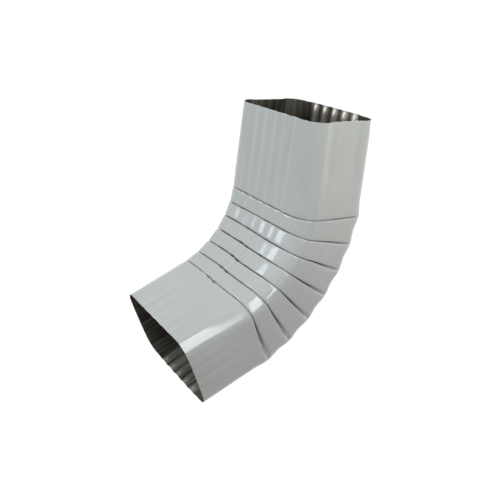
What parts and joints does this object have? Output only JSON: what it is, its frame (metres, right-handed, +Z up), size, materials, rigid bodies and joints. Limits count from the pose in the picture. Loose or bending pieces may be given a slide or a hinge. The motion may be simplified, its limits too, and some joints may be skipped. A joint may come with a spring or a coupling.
{
  "type": "downspout elbow",
  "caption": "Rectangular downspout elbow of fluted sheet, pleated on the inside of its bend, that turns roof water from a vertical pipe out and away from a wall.",
  "frame": {"origin": "centre of the inlet mouth, in the plane of its rim", "axes": "+Z up along the inlet leg, +X the way the outlet kicks out, Y across the wide side"},
  "size_m": [0.1357, 0.0826, 0.1787],
  "materials": {
    "painted_sheet": "glossy light grey paint outside, bare reflective metal inside"
  },
  "bodies": {
    "root": {"elbow_shell": "painted_sheet"}
  },
  "joints": []
}
